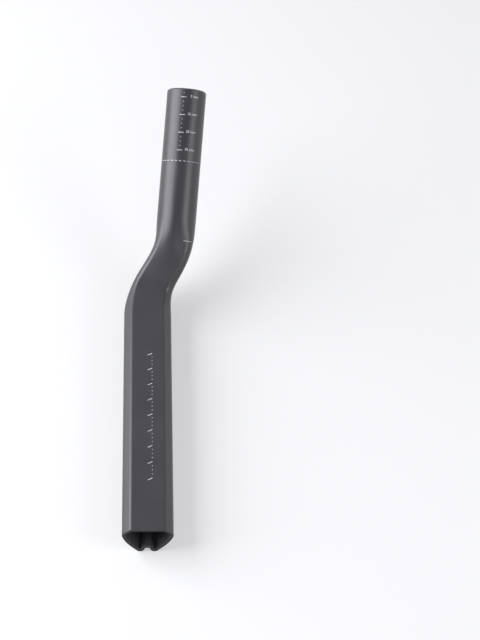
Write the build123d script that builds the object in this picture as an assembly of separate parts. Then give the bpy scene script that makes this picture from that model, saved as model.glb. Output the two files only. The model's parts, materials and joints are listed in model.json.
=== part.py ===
"""Left-hand aero handlebar extension, moulded in one piece as a hollow tube.

X points to the rider's right, Y forward along the body and Z up. The origin is on the flat top,
under the middle mark of the armrest scale. Sizes are in millimetres, angles in degrees.
"""
import os
from itertools import pairwise
from math import atan, atan2, cos, degrees, pi, radians, tan

from build123d import *

# Wall of the moulding, and how the edges of its two open ends are broken
wall = 1.8
rim_chamfer = 0.4
tip_chamfer = 0.8

# Section of the body: flat top, two bevels, rounded flanks, two lobes with a groove between them
body_width = 26.3
body_height = 21.4
bevel_width = 4.25
bevel_angle = 45.0
shoulder_radius = 4.0
flank_lean = 12.0
inside_corner_radius = 0.5
lobe_spacing = 7.4
lobe_lean = 40.0
groove_depth = 3.6

# Slimmer section that the body narrows to in the bend, and the round tube at the hand end
slim_width = 22.4
slim_bevel_width = 2.4
tube_diameter = 22.2

# Centre line: straight body, a bend inward and upward, straight hand tube that is round after a run
axis_depth = 9.7
scale_middle = 70.4
body_length = 142.2
bend_inward = 15.3
bend_forward = 41.5
bend_rise = 24.0
bend_lead_in = 28.2
bend_lead_out = 20.1
bend_steps = 7
hand_length = 82.6
rounding_run = 10.0
hand_in_angle = 5.2
hand_rise_angle = 37.2

# Share of the bend's sideways turn that its sections follow, and how far the narrowing and the
# rounding are held back to the two ends of the bend
section_turn = 0.5
narrowing_power = 7
rounding_power = 6

# Run-out of the cavity beyond the open ends, so that it cuts through them
overrun = 5.0

# Smallest lean or turn that counts as one when an edge is drawn
least_lean = 1e-6
least_turn = 1e-3

# A key point is a place in the section plane and the heading of the outline there. The outline runs
# clockwise from the flat down the right-hand side, so the material lies to the right of each heading.


def heading(angle):
    """Unit direction in the section plane."""
    return Vector(1, 0).rotate(Axis.Z, angle)


def body_points(width, bevel):
    """Key points of the right half of a body section, measured from the centre line."""
    tight_radius = wall + inside_corner_radius
    top = axis_depth
    bottom = axis_depth - body_height
    half_width = width / 2
    half_flat = half_width - bevel
    half_lobes = lobe_spacing / 2
    corner_run = tight_radius * tan(radians(bevel_angle / 2))
    shoulder_run = shoulder_radius * tan(radians((90 - bevel_angle) / 2))
    bevel_drop = bevel * tan(radians(bevel_angle))
    groove_turn = 2 * degrees(atan(groove_depth / half_lobes))
    corner = Vector(half_flat - corner_run, top - tight_radius)
    shoulder = Vector(half_width - shoulder_radius, top - bevel_drop - shoulder_run)
    lobe = Vector(half_lobes, bottom + tight_radius)

    def on_arc(centre, radius, angle):
        return (centre + heading(angle + 90) * radius, angle)

    return [
        on_arc(corner, tight_radius, 0),
        on_arc(corner, tight_radius, -bevel_angle),
        on_arc(shoulder, shoulder_radius, -bevel_angle),
        on_arc(shoulder, shoulder_radius, -90 - flank_lean),
        on_arc(lobe, tight_radius, -90 - lobe_lean),
        on_arc(lobe, tight_radius, -180 - groove_turn),
        (Vector(0, bottom + groove_depth), -180),
    ]


def round_points(points, diameter):
    """The same key points pushed straight in or out onto a circle round the centre line."""
    polars = [degrees(atan2(point.Y, point.X)) for point, _ in points]
    return [(heading(polar) * (diameter / 2), polar - 90) for polar in polars]


def blend(first, second, shares):
    """Key points each part of the way from one section to another."""
    return [
        (p + (q - p) * share, a + (b - a) * share)
        for (p, a), (q, b), share in zip(first, second, shares)
    ]


def inset(points, depth):
    """Key points moved into the material."""
    return [(point + heading(angle - 90) * depth, angle) for point, angle in points]


def run(start, end):
    """Edge from one key point to the next: a line, an arc, or a curve where neither fits."""
    (p, a), (q, b) = start, end
    chord = q - p
    turn = b - a
    lean = heading(a + turn / 2).cross(chord.normalized()).Z
    if abs(lean) < least_lean and abs(turn) < least_turn:
        return Line(p, q)
    if abs(lean) < least_lean:
        return TangentArc(p, q, tangent=heading(a))
    reach = chord.length / (3 * cos(radians(turn / 4)) ** 2)
    return Bezier(p, p + heading(a) * reach, q - heading(b) * reach, q)


def section(points):
    """Face of a whole section: the right half, its mirror image and the flat that joins them."""
    mirrored = [(Vector(-point.X, point.Y), -angle - 360) for point, angle in reversed(points)]
    outline = points + mirrored[1:] + [(points[0][0], points[0][1] - 360)]
    return Face(Wire([run(a, b).edge() for a, b in pairwise(outline)]))


# Centre line of the bend, tangent to the body behind it and to the hand tube ahead of it
forward = Vector(0, 1, 0)
hand_direction = forward.rotate(Axis.X, hand_rise_angle).rotate(Axis.Z, -hand_in_angle)
bend_start = Vector(0, body_length - scale_middle, -axis_depth)
bend_end = bend_start + Vector(bend_inward, bend_forward, bend_rise)
bend = Bezier(
    bend_start,
    bend_start + forward * bend_lead_in,
    bend_end - hand_direction * bend_lead_out,
    bend_end,
)
round_start = bend_end + hand_direction * rounding_run
transition = Wire([bend.edge(), Line(bend_end, round_start).edge()])


def ease(share, power):
    """Share done of a change that starts slowly, comes late and ends gently."""
    return share ** power * (1 + power * (1 - share))


def bend_frame(share):
    """Section plane part of the way through the transition, level across and seen from behind.

    It pitches with the bend but turns sideways only part of the way with it.
    """
    along = transition % share
    turn = hand_in_angle * ease(share, rounding_power)
    turn += section_turn * (degrees(atan2(along.X, along.Y)) - turn)
    across = Vector(1, 0, 0).rotate(Axis.Z, -turn)
    return Plane(transition @ share, x_dir=across, z_dir=across * along.dot(across) - along)


def bend_points(share):
    """Key points part of the way through the bend, from the body to the round tube.

    The body narrows and its groove runs out first; the flat and the bevels turn round last.
    """
    first = 1 - ease(1 - share, narrowing_power)
    last = ease(share, rounding_power)
    body = body_points(
        body_width + (slim_width - body_width) * first,
        bevel_width + (slim_bevel_width - bevel_width) * first,
    )
    shares = [last if angle >= -90 - flank_lean else first for _, angle in body]
    return blend(body, round_points(body, tube_diameter), shares)


def moulding(depth, extra):
    """Solid inside the outer surface set in by a depth, carried past both open ends by a length.

    The bend runs through sections that lie closer together towards its two ends.
    """
    shares = [(1 - cos(pi * step / bend_steps)) / 2 for step in range(bend_steps + 1)]
    faces = [bend_frame(share) * section(inset(bend_points(share), depth)) for share in shares]
    body = extrude(faces[0], amount=body_length + extra, dir=-forward)
    hand = extrude(faces[-1], amount=hand_length - rounding_run + extra, dir=hand_direction)
    return body + loft(faces) + hand


tube = moulding(0, 0) - moulding(wall, overrun)

# Edges of the open ends are broken, more so round the outside of the tip
rear_rim = tube.faces().sort_by(Axis.Y)[0]
tip_rim = tube.faces().sort_by(Axis(bend_end, hand_direction))[-1]
tube = chamfer(rear_rim.edges() + tip_rim.inner_wires()[0].edges(), rim_chamfer)
tip_rim = tube.faces().sort_by(Axis(bend_end, hand_direction))[-1]
tube = chamfer(tip_rim.outer_wire().edges(), tip_chamfer)

os.makedirs("parts", exist_ok=True)
export_step(tube.solid(), "parts/extension_tube.step")
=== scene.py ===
import json
from math import cos, pi, radians, sin

import bmesh
import bpy
from mathutils import Matrix, Vector
from mathutils.bvhtree import BVHTree


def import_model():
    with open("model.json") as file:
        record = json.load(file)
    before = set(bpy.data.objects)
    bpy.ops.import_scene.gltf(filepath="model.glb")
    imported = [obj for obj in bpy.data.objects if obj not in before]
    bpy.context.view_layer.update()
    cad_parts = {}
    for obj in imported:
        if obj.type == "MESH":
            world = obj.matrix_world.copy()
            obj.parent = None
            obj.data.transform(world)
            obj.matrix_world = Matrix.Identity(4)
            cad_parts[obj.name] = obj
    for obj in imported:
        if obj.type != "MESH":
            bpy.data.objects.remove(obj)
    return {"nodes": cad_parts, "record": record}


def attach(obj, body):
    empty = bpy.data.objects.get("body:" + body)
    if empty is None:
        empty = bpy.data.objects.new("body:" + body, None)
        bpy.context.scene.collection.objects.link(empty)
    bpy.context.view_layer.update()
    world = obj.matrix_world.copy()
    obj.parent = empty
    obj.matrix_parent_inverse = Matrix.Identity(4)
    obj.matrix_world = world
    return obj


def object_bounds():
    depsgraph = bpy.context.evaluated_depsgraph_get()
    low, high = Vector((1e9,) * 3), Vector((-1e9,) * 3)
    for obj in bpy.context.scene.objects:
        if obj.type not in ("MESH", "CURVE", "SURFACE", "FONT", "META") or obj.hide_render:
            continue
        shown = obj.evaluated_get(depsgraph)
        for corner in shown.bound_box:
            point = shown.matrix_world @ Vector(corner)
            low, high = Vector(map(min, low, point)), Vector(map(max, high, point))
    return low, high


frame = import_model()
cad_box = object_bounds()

tube = frame["nodes"]["extension_tube"]
mounts = {mount["name"]: mount for mount in frame["record"]["mounts"]}

MM = 0.001

# Tube, in millimetres: the straight body, the bend that follows it and the straight hand tube
AXIS_Z = -9.7
BODY_END_Y = 71.8
BEND_END = Vector((15.3, 113.3, 14.3))
TUBE_RADIUS = 11.1
HAND_LENGTH = 82.6
HAND = Vector(mounts["hand_tube"]["axis"]).normalized()
HAND_RIGHT = HAND.cross(Vector((0, 0, 1))).normalized()
HAND_UP = HAND_RIGHT.cross(HAND)
TIP = BEND_END + HAND * HAND_LENGTH

# Camera, in pixels of the image, degrees and millimetres
FRAME_HEIGHT = 640
FOCAL_PIXELS = 1570.95
PITCH, SPLAY, ROLL = 37.833, -2.092, 3.548
SHIFT_RIGHT, SHIFT_UP, DISTANCE = -48.84, -50.24, 832.97
SENSOR = 36.0
CLIP_START = 0.01

# Lightness of the coat, of the laminate inside and of its cut rims, and the faint tint of them all
TINT = (1.015, 1.0, 1.11)
COAT_GREYS = (0.030, 0.037)
SPECK_GREY, SPECK_SHARE = 0.045, 0.35
RAW_GREYS = (0.045, 0.085)
CUT_GREYS = (0.014, 0.030)

# Gloss of the coat and of the bare laminate
COAT_SPECULAR, BARE_SPECULAR = 0.65, 0.2
COAT_ROUGHNESS = (0.34, 0.39)
RAW_ROUGHNESS = (0.48, 0.62)

# Noise of the coat and the laminate, per metre, and the relief that it gives them
CLOUD_SCALE, GRAIN_SCALE, FIBRE_SCALE = 45.0, 2600.0, 900.0
CLOUD_DETAIL, GRAIN_DETAIL, FIBRE_DETAIL = 2.0, 2.0, 4.0
FIBRE_STRETCH = (1.0, 0.12, 1.0)
FIBRE_ROUGHNESS = 0.6
RELIEF_STRENGTH, RELIEF_HEIGHT = 0.25, 0.00003

# Parts of a noise's range that are spread over all of it
WIDE, NARROW = (0.3, 0.7), (0.35, 0.65)
WHOLE = (0, 1)

# Bands over which a surface counts as outside, and as one of the rims
OUTSIDE_BAND = (-0.001, 0.001)
RIM_BAND = (0.85, 0.95)

# Ink: its colour where it is thin and where it is full, its gloss and its noise
INK_THIN, INK_FULL = (0.56, 0.56, 0.57, 1), (0.70, 0.70, 0.71, 1)
INK_ROUGHNESS = (0.45, 0.6)
INK_SCALE, INK_DETAIL = 1800.0, 3.0
INK_RELIEF_STRENGTH, INK_RELIEF_HEIGHT = 0.2, 0.00001

# Strokes of the printing, in millimetres
INK_LIFT, INK_SINK = 0.035, 0.02
DOT_RADIUS, DOT_CORNERS = 0.23, 14
LINE_WIDTH, BEND_LINE_WIDTH = 0.36, 0.30

# Both scales: a mark every ten millimetres, with dots at the quarters between two marks
MARK_PITCH = 10.0
QUARTERS = (1, 2, 3)

# Armrest scale on the flat top: marks to each side of the middle one, place, reach and lean of a mark
MARKS_EACH_SIDE = 4
SCALE_X, MARK_REACH, MARK_LEAN = 2.3, 2.4, 1.2

# Trim scale on the hand tube: distances back from the tip, and arcs to the right of the crest
FIRST_MARK, TRIM_MARKS = 5.0, 4
MARK_LEFT, MARK_RIGHT, DOT_ARC = -2.7, 0.35, -1.15
MARK_PARTS = 8
FIGURE_HEIGHT, FIGURE_RIGHT, FIGURE_BASE = 2.05, 7.4, 0.05
FIGURE_WEIGHT = 0.03
FIGURE_WELD = 1e-5

# Broken limit line round the hand tube
LIMIT_BACK, LIMIT_LEFT, LIMIT_RIGHT = 41.0, -13.0, 12.5
DASH, GAP = 1.4, 1.0
DASH_PARTS = 4

# Short line on the inner side of the bend, and the direction from which it is pressed on
LINE_START, LINE_END = Vector((19.6, 104.6, 20.2)), Vector((24.2, 105.8, 17.9))
LINE_OUTWARD = Vector((0.6, -0.5, 0.6)).normalized()
LINE_PARTS = 24
PRESS_REACH = 5.0

# Floor: half its side in metres, its greys, and the glow by which it turns white away from the tube
FLOOR_HALF = 1.25
FLOOR_LOW, FLOOR_HIGH = (0.48, 0.48, 0.48, 1), (0.52, 0.52, 0.52, 1)
FLOOR_SCALE, FLOOR_ROUGHNESS = 3.0, 0.9
GLOW_DISTANCES, GLOW_STRENGTHS = (0.4, 1.2), (0.45, 0.98)
WHITE = (1, 1, 1, 1)

# Surroundings: plain fill, and what is seen overhead, from behind the tube to ahead of it
FILL_GREY = 0.2
OVERHEAD_BEHIND, OVERHEAD_AHEAD = 0.15, 0.6
AHEAD_BAND, HORIZON_BAND = (-0.6, 0.6), (0.25, 0.65)

# Lamps: direction from the tube, width and height in metres, and radiance
LAMPS = {
    "left": ((-0.866, 0.074, 0.55), 1.25, 1.05, 5.1),
    "right": ((0.76, -0.38, 0.54), 0.6, 0.5, 3.8),
    "behind": ((0.159, -0.749, 0.643), 0.35, 0.35, 2.2),
}
LAMP_DISTANCE = 1.1
LAMP_COLOUR = (0.97, 0.98, 1.03)
LIGHT_CENTRE = Vector((10, 60, 10))


def feed(tree, socket, value):
    """Fill an input from another node's output or with a fixed value."""
    if isinstance(value, bpy.types.NodeSocket):
        tree.links.new(value, socket)
    else:
        socket.default_value = value


def node(tree, kind, **values):
    """New shader node with some of its settings or inputs filled in."""
    made = tree.nodes.new(kind)
    for key, value in values.items():
        if key in made.inputs:
            feed(tree, made.inputs[key], value)
        else:
            setattr(made, key, value)
    return made


def maths(tree, operation, first, second):
    """Output of a Math node whose inputs are outputs of others or numbers."""
    made = node(tree, "ShaderNodeMath", operation=operation)
    feed(tree, made.inputs[0], first)
    feed(tree, made.inputs[1], second)
    return made.outputs[0]


def vector_maths(tree, operation, output, *vectors):
    """One output of a Vector Math node whose inputs are outputs of others or fixed vectors."""
    made = node(tree, "ShaderNodeVectorMath", operation=operation)
    for socket, vector in zip(made.inputs, vectors):
        feed(tree, socket, vector)
    return made.outputs[output]


def spread(tree, value, source, target, smooth=False):
    """Output of a Map Range node from one pair of numbers to another, held at both ends."""
    made = node(tree, "ShaderNodeMapRange", clamp=True, Value=value)
    made.interpolation_type = "SMOOTHSTEP" if smooth else "LINEAR"
    for name, number in zip(("From Min", "From Max", "To Min", "To Max"), (*source, *target)):
        made.inputs[name].default_value = number
    return made.outputs["Result"]


def noise(tree, place, scale, detail=3.0, rough=0.5):
    """Output of a Noise texture at a place."""
    made = node(tree, "ShaderNodeTexNoise", Scale=scale, Detail=detail, Roughness=rough, Vector=place)
    return made.outputs["Fac"]


def mix(tree, share, first, second, kind="Color"):
    """Output of a mix of two colours, or of two numbers where the kind is Float."""
    made = node(tree, "ShaderNodeMix", data_type="RGBA" if kind == "Color" else "FLOAT")
    sockets = {socket.identifier: socket for socket in (*made.inputs, *made.outputs)}
    feed(tree, sockets["Factor_Float"], share)
    feed(tree, sockets["A_" + kind], first)
    feed(tree, sockets["B_" + kind], second)
    return sockets["Result_" + kind]


def raised(tree, shader, height, strength, distance):
    """Fine relief on a shader, from a height."""
    bump = node(tree, "ShaderNodeBump", Strength=strength, Distance=distance, Height=height)
    feed(tree, shader.inputs["Normal"], bump.outputs[0])


def new_material(name):
    """Empty node material, its tree and its Principled shader."""
    made = bpy.data.materials.new(name)
    made.use_nodes = True
    return made, made.node_tree, made.node_tree.nodes["Principled BSDF"]


def grey(level):
    """Nearly neutral colour with a faint cool tint."""
    return (*(level * part for part in TINT), 1.0)


def inside_share(tree, place, normal):
    """Share that is one where the surface faces the centre line of the tube, and zero outside."""
    axes = node(tree, "ShaderNodeSeparateXYZ", Vector=place)
    y = axes.outputs["Y"]
    reach = (TIP - BEND_END) * MM
    bend_y = (BODY_END_Y * MM, BEND_END.y * MM)
    hand_y = (BEND_END.y * MM, TIP.y * MM)
    bend_x = spread(tree, y, bend_y, (0, BEND_END.x * MM), True)
    bend_z = spread(tree, y, bend_y, (AXIS_Z * MM, BEND_END.z * MM), True)
    middle = node(
        tree, "ShaderNodeCombineXYZ", Y=y,
        X=maths(tree, "ADD", bend_x, spread(tree, y, hand_y, (0, reach.x))),
        Z=maths(tree, "ADD", bend_z, spread(tree, y, hand_y, (0, reach.z))),
    )
    offset = vector_maths(tree, "SUBTRACT", "Vector", place, middle.outputs[0])
    facing = vector_maths(tree, "DOT_PRODUCT", "Value", offset, normal)
    return spread(tree, facing, OUTSIDE_BAND, (1, 0))


def coat_material():
    """Satin dark coat outside, raw laminate inside, cut laminate on the rims at both ends."""
    made, tree, shader = new_material("satin_coat")
    coordinates = node(tree, "ShaderNodeTexCoord").outputs
    place, normal = coordinates["Object"], coordinates["Normal"]
    inside = inside_share(tree, place, normal)

    # The two rims look straight back, and straight out along the hand tube
    rear = vector_maths(tree, "DOT_PRODUCT", "Value", normal, (0, -1, 0))
    tip = vector_maths(tree, "DOT_PRODUCT", "Value", normal, tuple(HAND))
    rim = spread(tree, maths(tree, "MAXIMUM", rear, tip), RIM_BAND, WHOLE)
    bare = maths(tree, "MAXIMUM", inside, rim)

    # Large, faint unevenness of the coat, the fine grain of its satin, and fibres along the tube inside
    cloud = noise(tree, place, CLOUD_SCALE, CLOUD_DETAIL)
    grain = noise(tree, place, GRAIN_SCALE, GRAIN_DETAIL)
    stretch = node(tree, "ShaderNodeMapping", Vector=place, Scale=FIBRE_STRETCH)
    fibre = noise(tree, stretch.outputs[0], FIBRE_SCALE, FIBRE_DETAIL, FIBRE_ROUGHNESS)

    coat = mix(tree, spread(tree, cloud, WIDE, WHOLE), *map(grey, COAT_GREYS))
    coat = mix(tree, spread(tree, grain, NARROW, (0, SPECK_SHARE)), coat, grey(SPECK_GREY))
    raw = mix(tree, spread(tree, fibre, NARROW, WHOLE), *map(grey, RAW_GREYS))
    cut = mix(tree, spread(tree, grain, NARROW, WHOLE), *map(grey, CUT_GREYS))
    feed(tree, shader.inputs["Base Color"], mix(tree, rim, mix(tree, inside, coat, raw), cut))

    specular = spread(tree, bare, WHOLE, (COAT_SPECULAR, BARE_SPECULAR))
    feed(tree, shader.inputs["Specular IOR Level"], specular)
    coat_rough = spread(tree, cloud, WIDE, COAT_ROUGHNESS)
    raw_rough = spread(tree, fibre, WIDE, RAW_ROUGHNESS)
    feed(tree, shader.inputs["Roughness"], mix(tree, bare, coat_rough, raw_rough, "Float"))
    raised(tree, shader, mix(tree, inside, grain, fibre, "Float"), RELIEF_STRENGTH, RELIEF_HEIGHT)
    return made


def ink_material():
    """Matt off-white printing ink, a little thin in places."""
    made, tree, shader = new_material("printing_ink")
    place = node(tree, "ShaderNodeTexCoord").outputs["Object"]
    patch = noise(tree, place, INK_SCALE, INK_DETAIL)
    colour = mix(tree, spread(tree, patch, NARROW, WHOLE), INK_THIN, INK_FULL)
    feed(tree, shader.inputs["Base Color"], colour)
    feed(tree, shader.inputs["Roughness"], spread(tree, patch, WIDE, INK_ROUGHNESS))
    raised(tree, shader, patch, INK_RELIEF_STRENGTH, INK_RELIEF_HEIGHT)
    return made


def on_flat(u, v, w):
    """Place on the flat top: across, along and above."""
    return Vector((u, v, w))


def on_tube(u, v, w):
    """Place on the hand tube: arc to the right of its crest, distance back from the tip, and above."""
    angle = u / TUBE_RADIUS
    out = HAND_UP * cos(angle) + HAND_RIGHT * sin(angle)
    return TIP - HAND * v + out * (TUBE_RADIUS + w)


def on_bend(u, v, w):
    """Place on the bend: along and beside its short line, pressed on from outside, and above."""
    forward = (LINE_END - LINE_START).normalized()
    across = LINE_OUTWARD.cross(forward).normalized()
    start = LINE_START + forward * u + across * v + LINE_OUTWARD * PRESS_REACH
    hit, normal, _, _ = surface.ray_cast(start * MM, -LINE_OUTWARD)
    return hit / MM + normal * w


def bar(form, start, end, width=LINE_WIDTH, parts=1):
    """Flat strip between two places, added to a mesh form."""
    run = Vector(end) - Vector(start)
    side = Vector((-run.y, run.x)).normalized() * (width / 2)
    rows = []
    for step in range(parts + 1):
        middle = Vector(start) + run * (step / parts)
        rows.append([form.verts.new((*(middle + side * sign), 0)) for sign in (-1, 1)])
    for (a, b), (c, d) in zip(rows, rows[1:]):
        form.faces.new((a, c, d, b))


def dot(form, u, v):
    """Flat disc, added to a mesh form."""
    turns = [2 * pi * step / DOT_CORNERS for step in range(DOT_CORNERS)]
    ring = [(u + DOT_RADIUS * cos(turn), v + DOT_RADIUS * sin(turn), 0) for turn in turns]
    form.faces.new([form.verts.new(corner) for corner in ring])


def figures(form, text, right, base):
    """Flat line of figures with its right end and its base line at a place, added to a mesh form."""
    curve = bpy.data.curves.new("figures", "FONT")
    curve.body = text
    curve.size = FIGURE_HEIGHT
    curve.align_x = "RIGHT"
    curve.offset = FIGURE_WEIGHT
    carrier = bpy.data.objects.new("figures", curve)
    bpy.context.scene.collection.objects.link(carrier)
    mesh = carrier.to_mesh()
    for face in mesh.polygons:
        corners = [mesh.vertices[index].co for index in face.vertices]
        form.faces.new([form.verts.new((right + co.x, base - co.y, 0)) for co in corners])
    carrier.to_mesh_clear()
    bpy.data.objects.remove(carrier)
    bpy.data.curves.remove(curve)


def printed(name, form, place):
    """Thin closed piece of ink from a flat mesh form laid on a surface."""
    flat, verts = form.faces[:], form.verts[:]
    rims = [edge.verts[:] for edge in form.edges if edge.is_boundary]
    upper = {vert: form.verts.new(vert.co) for vert in verts}
    for face in flat:
        form.faces.new([upper[vert] for vert in face.verts])
    for a, b in rims:
        form.faces.new((a, b, upper[b], upper[a]))
    for vert in verts:
        u, v, _ = vert.co
        vert.co = place(u, v, -INK_SINK) * MM
        upper[vert].co = place(u, v, INK_LIFT) * MM
    bmesh.ops.recalc_face_normals(form, faces=form.faces[:])
    mesh = bpy.data.meshes.new(name)
    form.to_mesh(mesh)
    form.free()
    mesh.materials.append(ink)
    piece = bpy.data.objects.new(name, mesh)
    bpy.context.scene.collection.objects.link(piece)
    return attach(piece, "root")


surface = BVHTree.FromObject(tube, bpy.context.evaluated_depsgraph_get())
ink = ink_material()
tube.material_slots[0].material = coat_material()

# Armrest scale: leaning marks, and dots in line with their right ends
form = bmesh.new()
for step in range(-MARKS_EACH_SIDE, MARKS_EACH_SIDE + 1):
    rear, front = step * MARK_PITCH - MARK_LEAN / 2, step * MARK_PITCH + MARK_LEAN / 2
    bar(form, (SCALE_X - MARK_REACH, rear), (SCALE_X, front))
    if step < MARKS_EACH_SIDE:
        for quarter in QUARTERS:
            dot(form, SCALE_X, front + MARK_PITCH * quarter / 4)
printed("armrest_scale", form, on_flat)

# Trim scale: straight marks, dots between them and one more dot ahead of the first mark
trim_marks = [FIRST_MARK + step * MARK_PITCH for step in range(TRIM_MARKS)]
form = bmesh.new()
for back in trim_marks:
    bar(form, (MARK_LEFT, back), (MARK_RIGHT, back), parts=MARK_PARTS)
    if back < trim_marks[-1]:
        for quarter in QUARTERS:
            dot(form, DOT_ARC, back + MARK_PITCH * quarter / 4)
dot(form, DOT_ARC, FIRST_MARK / 2)
printed("trim_scale", form, on_tube)

form = bmesh.new()
for back in trim_marks:
    figures(form, "%d mm" % back, FIGURE_RIGHT, back + FIGURE_BASE)
bmesh.ops.remove_doubles(form, verts=form.verts[:], dist=FIGURE_WELD)
printed("trim_figures", form, on_tube)

# Broken line that shows how far back the tube may be cut
form = bmesh.new()
arc = LIMIT_LEFT
while arc < LIMIT_RIGHT:
    bar(form, (arc, LIMIT_BACK), (arc + DASH, LIMIT_BACK), parts=DASH_PARTS)
    arc += DASH + GAP
printed("limit_line", form, on_tube)

# Short line where the bend meets the hand tube
form = bmesh.new()
bar(form, (0, 0), ((LINE_END - LINE_START).length, 0), BEND_LINE_WIDTH, LINE_PARTS)
printed("bend_line", form, on_bend)


def camera():
    """Camera behind and above the tube, by its right, up and away directions."""
    pitch, splay, roll = radians(PITCH), radians(SPLAY), radians(ROLL)
    right = Vector((cos(roll) * cos(splay), sin(splay), sin(roll) * cos(splay)))
    up = Vector((
        -cos(roll) * sin(splay) * cos(pitch) - sin(roll) * sin(pitch),
        cos(splay) * cos(pitch),
        -sin(roll) * sin(splay) * cos(pitch) + cos(roll) * sin(pitch),
    ))
    away = up.cross(right)
    eye = -(right * SHIFT_RIGHT + up * SHIFT_UP + away * DISTANCE) * MM
    data = bpy.data.cameras.new("camera")
    data.sensor_fit = "VERTICAL"
    data.sensor_height = SENSOR
    data.lens = FOCAL_PIXELS / FRAME_HEIGHT * SENSOR
    data.clip_start = CLIP_START
    made = bpy.data.objects.new("camera", data)
    bpy.context.scene.collection.objects.link(made)
    turn = Matrix((right, up, -away)).transposed().to_4x4()
    made.matrix_world = Matrix.Translation(eye) @ turn
    bpy.context.scene.camera = made


def seen(tree):
    """Share that is one for rays that show the background: straight, mirrored or refracted."""
    rays = node(tree, "ShaderNodeLightPath").outputs
    straight = maths(tree, "MAXIMUM", rays["Is Camera Ray"], rays["Is Glossy Ray"])
    return maths(tree, "MAXIMUM", straight, rays["Is Transmission Ray"])


def floor():
    """Pale floor under the tube; it looks white and keeps a soft shadow."""
    low = cad_box[0].z
    mesh = bpy.data.meshes.new("floor")
    corners = [(-1, -1), (1, -1), (1, 1), (-1, 1)]
    mesh.from_pydata([(x * FLOOR_HALF, y * FLOOR_HALF, low) for x, y in corners], [], [(0, 1, 2, 3)])
    made = bpy.data.objects.new("floor", mesh)
    bpy.context.scene.collection.objects.link(made)
    material, tree, shader = new_material("floor")
    place = node(tree, "ShaderNodeTexCoord").outputs["Object"]
    feed(tree, shader.inputs["Base Color"], mix(tree, noise(tree, place, FLOOR_SCALE), FLOOR_LOW, FLOOR_HIGH))
    shader.inputs["Roughness"].default_value = FLOOR_ROUGHNESS
    shader.inputs["Specular IOR Level"].default_value = 0.0
    shader.inputs["Emission Color"].default_value = WHITE
    away = vector_maths(tree, "LENGTH", "Value", place)
    glow = spread(tree, away, GLOW_DISTANCES, GLOW_STRENGTHS, True)
    feed(tree, shader.inputs["Emission Strength"], maths(tree, "MULTIPLY", seen(tree), glow))
    mesh.materials.append(material)


def world():
    """Soft surroundings: white to look at near the floor, darker overhead, and a plain fill."""
    made = bpy.data.worlds.new("studio")
    bpy.context.scene.world = made
    made.use_nodes = True
    tree = made.node_tree
    place = node(tree, "ShaderNodeTexCoord").outputs["Generated"]
    axes = node(tree, "ShaderNodeSeparateXYZ", Vector=place).outputs
    ahead = spread(tree, axes["Y"], AHEAD_BAND, WHOLE, True)
    overhead = mix(tree, ahead, grey(OVERHEAD_BEHIND), grey(OVERHEAD_AHEAD))
    sky = mix(tree, spread(tree, axes["Z"], HORIZON_BAND, WHOLE, True), WHITE, overhead)
    feed(tree, tree.nodes["Background"].inputs["Color"], mix(tree, seen(tree), grey(FILL_GREY), sky))


def softbox(name, direction, width, height, radiance):
    """Area lamp that faces the tube from a direction."""
    data = bpy.data.lights.new(name, "AREA")
    data.shape = "RECTANGLE"
    data.size, data.size_y = width, height
    data.energy = radiance * pi * width * height
    data.color = LAMP_COLOUR
    made = bpy.data.objects.new(name, data)
    bpy.context.scene.collection.objects.link(made)
    towards = Vector(direction).normalized()
    made.location = LIGHT_CENTRE * MM + towards * LAMP_DISTANCE
    made.rotation_euler = towards.to_track_quat("Z", "Y").to_euler()
    made.visible_camera = False


camera()
floor()
world()
for name, lamp in LAMPS.items():
    softbox(name, *lamp)

bpy.context.scene.view_settings.view_transform = "Standard"
